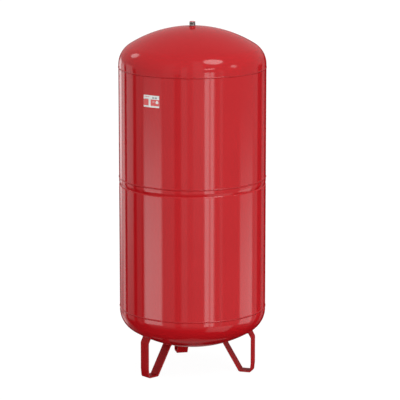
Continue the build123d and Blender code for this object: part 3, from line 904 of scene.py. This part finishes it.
def swung(point, azimuth):
    """Swing a point made in the XZ plane to an azimuth."""
    outwards = around(1, azimuth, 0)
    sideways = Vector((-outwards.y, outwards.x, 0))
    return outwards * point.x + sideways * point.y + Vector((0, 0, point.z))


def on_bar(place_on_route, across, through):
    """A point of the bar, before it is swung to its azimuth."""
    point, way = place_on_route
    flat = point + Vector((-way.y, way.x)) * through
    return Vector((flat.x, across, flat.y))


def route_ends(route):
    """The two ends of the route, each with its way towards the head."""
    (_, first_way), (_, last_way) = route[0], route[-1]
    outer_way = Vector((-first_way.x, 0, -first_way.y))
    inner_way = Vector((last_way.x, 0, last_way.y))
    return (route[0], outer_way), (route[-1], inner_way)


def leg_bar(name, route, azimuth):
    """One bent flat bar, with both ends cut to the head's curve."""
    section = bar_section()
    (_, outer_way), (_, inner_way) = route_ends(route)
    mesh = bmesh.new()
    rings = []
    for index, stop in enumerate(route):
        ring = [on_bar(stop, across, through) for across, through in section]
        if index == 0:
            ring = [slid_to_head(point, outer_way, TRIM_DEPTH) for point in ring]
        if index == len(route) - 1:
            ring = [slid_to_head(point, inner_way, TRIM_DEPTH) for point in ring]
        rings.append([mesh.verts.new(swung(point, azimuth)) for point in ring])
    loft(mesh, rings)
    return finished(name, mesh)


def leg_beads(name, route, azimuth):
    """Four rippled fillet beads, where the bar's two faces meet the head at each end."""
    rows = round(BAR_WIDTH / RIPPLE_PITCH) * BEAD_STEPS
    mesh = bmesh.new()
    for stop, way in route_ends(route):
        for through in (-BAR_THICKNESS / 2, BAR_THICKNESS / 2):
            rings = []
            for row in range(rows + 1):
                across = BAR_WIDTH * (row / rows - 0.5)
                centre = slid_to_head(on_bar(stop, across, through), way, 0)
                to_end = min(BAR_WIDTH / 2 - abs(across) + ON_AXIS, FILLET_SIZE) / FILLET_SIZE
                roundness = sqrt(1 - (1 - to_end) ** 2)
                size = FILLET_SIZE * (FILLET_END_SHARE + (1 - FILLET_END_SHARE) * roundness)
                size += FILLET_RIPPLE_HEIGHT * sin(tau * across / RIPPLE_PITCH)
                ring = []
                for corner in range(BEAD_STEPS * 2):
                    side = pi * corner / BEAD_STEPS
                    point = centre + size * Vector((cos(side), 0, sin(side)))
                    distance, outwards = head_distance(point)
                    point += outwards * max(-BEAD_DEPTH - distance, 0)
                    ring.append(mesh.verts.new(swung(point, azimuth)))
                rings.append(ring)
            loft(mesh, rings)
    return finished(name, mesh)


def build_legs():
    route = leg_route()
    for name, azimuth in LEG_AZIMUTHS.items():
        bar = leg_bar(f"{name}_bent_bar", route, azimuth)
        place(bar, "root", "leg_paint", f"{name}_leg")
        beads = leg_beads(f"{name}_leg_beads", route, azimuth)
        place(beads, "root", "painted_weld", f"{name}_leg_welds")


# --- Rating label ---
def label_column(mesh, along, up, inner_radius, outer_radius):
    """Four corners of an upright cut through a patch. along and up are shares of the label."""
    azimuth = LABEL_AZIMUTH + (along - 0.5) * LABEL_WIDTH / SHELL_RADIUS
    low, high = [LABEL_LOW_Z + share * (LABEL_TOP_Z - LABEL_LOW_Z) for share in up]
    corners = [(inner_radius, low), (outer_radius, low), (outer_radius, high), (inner_radius, high)]
    return [mesh.verts.new(around(radius, azimuth, height)) for radius, height in corners]


def curved_patch(mesh, patch, inner_radius, outer_radius):
    """A thin patch bent round the shell, given as (left, right, bottom, top) shares of the label."""
    left, right, bottom, top = patch
    columns = max(round((right - left) * ARC_STEPS), 1)
    rings = []
    for column in range(columns + 1):
        along = left + (right - left) * column / columns
        rings.append(label_column(mesh, along, (bottom, top), inner_radius, outer_radius))
    loft(mesh, rings)


def inked(name, mesh, ink):
    piece = finished(name, mesh)
    piece.data.materials.append(LABEL_INKS[ink])
    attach(piece, "root")


def printed(name, ink, patches, layer=1):
    """A layer of ink: a list of patches, each given as shares of the label."""
    surface = SHELL_RADIUS + LABEL_THICKNESS
    mesh = bmesh.new()
    for patch in patches:
        curved_patch(mesh, patch, surface - LABEL_THICKNESS / 2, surface + layer * PRINT_THICKNESS)
    inked(name, mesh, ink)


def dashes(left, right, bottom, top, cuts):
    """A row of dashes that stands for a line of print, cut at shares of its length."""
    width = right - left
    ends = [left] + [left + width * cut for cut in cuts] + [right]
    return [(start, end - width * DASH_GAP, bottom, top) for start, end in zip(ends, ends[1:])]


def bars(left, right, bottom, top, count):
    """Upright bars in three thicknesses, as in a code for a scanner."""
    pitch = (right - left) / count
    patches = []
    for bar in range(count):
        thickness = pitch * BAR_SHARES[bar % len(BAR_SHARES)]
        patches.append((left + bar * pitch, left + bar * pitch + thickness, bottom, top))
    return patches


def printed_drop(name, ink, middle, bottom, top, half_width):
    """A drop with its point upwards, its places given as shares of the label."""
    inner_radius = SHELL_RADIUS + LABEL_THICKNESS / 2
    outer_radius = SHELL_RADIUS + LABEL_THICKNESS + 2 * PRINT_THICKNESS
    mesh = bmesh.new()
    rings = []
    for column in range(DROP_COLUMNS + 1):
        across = DROP_SIDE * sin(pi * (column / DROP_COLUMNS - 0.5))
        low = DROP_BELLY * (1 - sqrt(1 - across ** 2))
        high = 1 - (1 - DROP_BELLY) * acos(1 - 2 * abs(across)) / pi
        edges = [bottom + (top - bottom) * share for share in (low, high)]
        along = middle + half_width * across
        rings.append(label_column(mesh, along, edges, inner_radius, outer_radius))
    loft(mesh, rings)
    inked(name, mesh, ink)


def build_label():
    mesh = bmesh.new()
    curved_patch(mesh, (0, 1, 0, 1), SHELL_RADIUS, SHELL_RADIUS + LABEL_THICKNESS)
    film = finished("rating_label_film", mesh)
    place(film, "root", "label_film", "rating_label")
    printed("label_panel_print", "pale_red", [(0.005, 0.995, *PANEL_ROWS)])
    printed("label_red_marks", "red", dashes(0.05, 0.40, 0.85, 0.894, (0.3, 0.7)))
    dark = bars(0.57, 0.70, 0.73, 0.88, 6) + bars(0.73, 0.87, 0.73, 0.88, 7)
    dark += dashes(0.05, 0.33, 0.695, 0.71975, (0.2, 0.55, 0.8))
    dark += dashes(0.06, 0.34, 0.06, 0.0765, (0.25, 0.6))
    printed("label_dark_print", "dark", dark)
    white = [(0.335, 0.465, *PANEL_ROWS)] + dashes(0.59, 0.72, 0.46, 0.504, (0.5,))
    printed("label_white_print", "white", white, layer=2)
    printed_drop("label_drop_print", "white", 0.865, 0.32, 0.65, 0.09)


# --- CAD pieces that keep their own shape ---
def finish_cad_pieces():
    finishes = {
        "diaphragm_clamp_ring": "bare_steel",
        "gas_valve_socket": "red_paint",
        "gas_valve_gasket": "seal_rubber",
        "valve_core_barrel": "valve_brass",
        "valve_core_seal": "seal_rubber",
        "valve_pin": "valve_brass",
        "valve_pin_seal": "seal_rubber",
        "valve_cap_seal": "seal_rubber",
    }
    for node, slot in finishes.items():
        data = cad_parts[node].data
        data.materials.clear()
        data.materials.append(MATERIALS[slot])


# --- Studio ---
# The studio's panels as a reflection would show them, in degrees round the vessel and up:
# (from azimuth, to azimuth, soft edge, from height, to height, soft edge, brightness).
# A panel with a brightness below zero is a black flag that takes light away.
PANELS = [
    (-82, -49, 5, -21.5, -11, 5, 5.0),     # wide key box on the left
    (-86, -77.5, 5, -40, -11.8, 6, -0.8),  # shade on its lower left edge
    (-106, -82, 4, -40, -11.8, 6, -0.33),  # dim strip below and to the left of it
    (-47, -29, 3, -30, 40, 12, 0.2),       # its spill
    (-28, -18, 3, -30, -6, 8, -0.5),       # gap between the key box and the front
    (-17, -8, 3, -20, 30, 8, 0.5),         # narrow front panel
    (1, 18, 3, -13, 60, 6, 0.6),           # tall front panel
    (18, 35, 2, -22, 3, 4, 1.5),           # diffuser behind the double strip
    (19, 26, 2, -22, 3, 4, 3.9),           # left tube of the double strip
    (28, 33, 2, -22, 3, 4, 3.9),           # right tube of the double strip
    (25, 70, 6, -50, -25, 6, 1.6),         # low bounce board
    (19, 35, 2, 16, 22, 2, 6.0),           # small box over the strips
    (43, 48, 2, -25, 10, 6, 0.6),          # edge light
    (80, 108, 4, -26, -12, 5, 3.0),        # box on the right
    (122, 137, 3, -40, 0, 8, -0.65),       # flag behind on the right
    (-158, -144, 3, -12.3, 0, 5, 2.8),     # panel behind on the left
    (-141, -132, 2, -16, 0, 8, 1.6),       # its narrow neighbour
    (-156, -140, 4, -27, -17, 5, 1.2),     # low board below them
    (-126, -98, 6, -46, -20, 6, -0.55),    # dark floor on the left
    (-131, -125, 2, -40, -2, 6, -0.9),     # flag beside them
    (-124, -106.5, 2, -13.2, 4, 4, 0.9),   # narrow panel on the left
    (-105, -98, 4, -40, -2, 6, -0.7),      # and its flag
    (136, 176, 4, -45, 6, 6, -0.25),       # dim corner behind on the right
    (152, 176, 4, -40, 0, 8, -0.5),        # dark end of the room on the right
    (-178, -159, 4, -40, 0, 8, -0.5),      # and on the left
    (-200, -155, 8, -98, -44, 12, 0.33),   # pale floor behind, on the left of straight back
    (155, 200, 8, -98, -44, 12, 0.33),     # and on the right of it
]
# Round lamps: (azimuth, height, radius, brightness), in degrees.
LAMPS = [(45, 52, 12.5, 8.4), (70, 20, 5.5, 5.0), (-127, 30, 7.0, 4.4)]
LAMP_EDGE = 2.0
FRONT_GLOW = 1.04
BACK_GLOW = 0.70
GLOW_BOTTOM = -46                       # the glow fades out below the floor's horizon
GLOW_FULL = -12
# Broad fills that light the paint but leave no highlight: (azimuth, height, strength), in degrees.
FILLS = [(180, 15, 0.75), (180, 75, 0.5), (0, -65, 0.35)]
FILL_SPREAD = radians(100)
FLOOR_SIZE = 60
FLOOR_GLOW = 0.96
FLOOR_BOUNCE = (0.06, 0.06, 0.06, 1)
CAMERA_PLACE = (0, -12.965, 3.6915)
CAMERA_TILT = radians(90 - 12.03)
CAMERA_TURN = radians(-0.179)
CAMERA_LENS = 221.2
SENSOR_WIDTH = 36


def aim_at(azimuth, height):
    """The way towards an azimuth and a height, given in degrees."""
    return around(cos(radians(height)), radians(azimuth), sin(radians(height)))


def band(nodes, value, low, high, edge):
    """1 where a value is between low and high and 0 elsewhere, with soft edges."""
    rise = nodes.ramp(value, low - edge / 2, low + edge / 2)
    fall = nodes.ramp(value, high - edge / 2, high + edge / 2)
    return nodes.math("SUBTRACT", rise, fall)


def panel_light(nodes, azimuth, height, panel):
    """One soft-edged panel, as a brightness over all directions."""
    left, right, side_edge, low, high, end_edge, brightness = panel
    sides = band(nodes, azimuth, left, right, side_edge)
    ends = band(nodes, height, low, high, end_edge)
    return nodes.math("MULTIPLY", nodes.math("MULTIPLY", sides, ends), brightness)


def lamp_light(nodes, direction, lamp):
    """One round lamp, as a brightness over all directions."""
    azimuth, height, radius, brightness = lamp
    dot = nodes.add("ShaderNodeVectorMath", operation="DOT_PRODUCT")
    nodes.feed(dot.inputs[0], direction)
    nodes.feed(dot.inputs[1], aim_at(azimuth, height))
    away = nodes.math("DEGREES", nodes.math("ARCCOSINE", dot.outputs["Value"]))
    return nodes.ramp(away, radius - LAMP_EDGE, radius + LAMP_EDGE, brightness, 0.0)


def build_world():
    """White to the camera, and a studio of soft panels to everything else."""
    world = bpy.data.worlds.new("studio")
    bpy.context.scene.world = world
    nodes = NodeTree(world)
    direction = nodes.add("ShaderNodeTexCoord").outputs["Generated"]
    parts = nodes.add("ShaderNodeSeparateXYZ")
    nodes.feed(parts.inputs["Vector"], direction)
    towards_front = nodes.math("MULTIPLY", parts.outputs["Y"], -1.0)
    azimuth = nodes.math("DEGREES", nodes.math("ARCTAN2", parts.outputs["X"], towards_front))
    height = nodes.math("DEGREES", nodes.math("ARCSINE", parts.outputs["Z"]))
    glow = nodes.ramp(towards_front, -1.0, 1.0, BACK_GLOW, FRONT_GLOW)
    light = nodes.math("MULTIPLY", glow, nodes.ramp(height, GLOW_BOTTOM, GLOW_FULL))
    for panel in PANELS:
        light = nodes.math("ADD", light, panel_light(nodes, azimuth, height, panel))
    for lamp in LAMPS:
        light = nodes.math("ADD", light, lamp_light(nodes, direction, lamp))
    studio = nodes.add("ShaderNodeBackground")
    nodes.feed(studio.inputs["Strength"], nodes.math("MAXIMUM", light, 0.0))
    studio.inputs["Color"].default_value = (1, 1, 1, 1)
    backdrop = nodes.add("ShaderNodeBackground")
    backdrop.inputs["Color"].default_value = (1, 1, 1, 1)
    choice = nodes.add("ShaderNodeMixShader")
    nodes.feed(choice.inputs["Fac"], nodes.add("ShaderNodeLightPath").outputs["Is Camera Ray"])
    nodes.feed(choice.inputs[1], studio.outputs["Background"])
    nodes.feed(choice.inputs[2], backdrop.outputs["Background"])
    output = nodes.add("ShaderNodeOutputWorld")
    nodes.feed(output.inputs["Surface"], choice.outputs["Shader"])


def build_fills():
    for index, (azimuth, height, strength) in enumerate(FILLS):
        light = bpy.data.lights.new(f"fill_{index}", "SUN")
        light.energy = strength
        light.angle = FILL_SPREAD
        lamp = bpy.data.objects.new(f"fill_{index}", light)
        lamp.rotation_euler = aim_at(azimuth, height).to_track_quat("Z", "Y").to_euler()
        lamp.visible_glossy = False
        bpy.context.scene.collection.objects.link(lamp)


def floor_material():
    """A bright pale floor that shows a faint shadow, and nothing from below."""
    material = bpy.data.materials.new("pale_floor")
    nodes = NodeTree(material)
    glow = nodes.add("ShaderNodeEmission")
    glow.inputs["Color"].default_value = (1, 1, 1, 1)
    glow.inputs["Strength"].default_value = FLOOR_GLOW
    bounce = nodes.add("ShaderNodeBsdfDiffuse")
    bounce.inputs["Color"].default_value = FLOOR_BOUNCE
    lit = nodes.add("ShaderNodeAddShader")
    nodes.feed(lit.inputs[0], glow.outputs["Emission"])
    nodes.feed(lit.inputs[1], bounce.outputs["BSDF"])
    choice = nodes.add("ShaderNodeMixShader")
    nodes.feed(choice.inputs["Fac"], nodes.add("ShaderNodeNewGeometry").outputs["Backfacing"])
    nodes.feed(choice.inputs[1], lit.outputs["Shader"])
    nodes.feed(choice.inputs[2], nodes.add("ShaderNodeBsdfTransparent").outputs["BSDF"])
    output = nodes.add("ShaderNodeOutputMaterial")
    nodes.feed(output.inputs["Surface"], choice.outputs["Shader"])
    return material


def build_floor():
    half = FLOOR_SIZE / 2
    data = bpy.data.meshes.new("floor")
    corners = [(-half, -half, 0), (half, -half, 0), (half, half, 0), (-half, half, 0)]
    data.from_pydata(corners, [], [(0, 1, 2, 3)])
    data.materials.append(floor_material())
    floor = bpy.data.objects.new("floor", data)
    floor.visible_diffuse = False
    floor.visible_glossy = False
    floor.visible_transmission = False
    floor.visible_shadow = False
    bpy.context.scene.collection.objects.link(floor)


def build_camera():
    data = bpy.data.cameras.new("camera")
    data.sensor_width = SENSOR_WIDTH
    data.lens = CAMERA_LENS
    camera = bpy.data.objects.new("camera", data)
    camera.location = CAMERA_PLACE
    camera.rotation_euler = (CAMERA_TILT, 0, CAMERA_TURN)
    bpy.context.scene.collection.objects.link(camera)
    bpy.context.scene.camera = camera


def build_studio():
    bpy.context.scene.view_settings.view_transform = "Standard"
    build_world()
    build_fills()
    build_floor()
    build_camera()


build_shell()
build_shell_welds()
build_diaphragm()
build_nipple()
build_nipple_bead()
build_plug()
build_valve_body()
build_valve_cap()
build_valve_spring()
build_socket_bead()
build_legs()
build_label()
finish_cad_pieces()
build_studio()
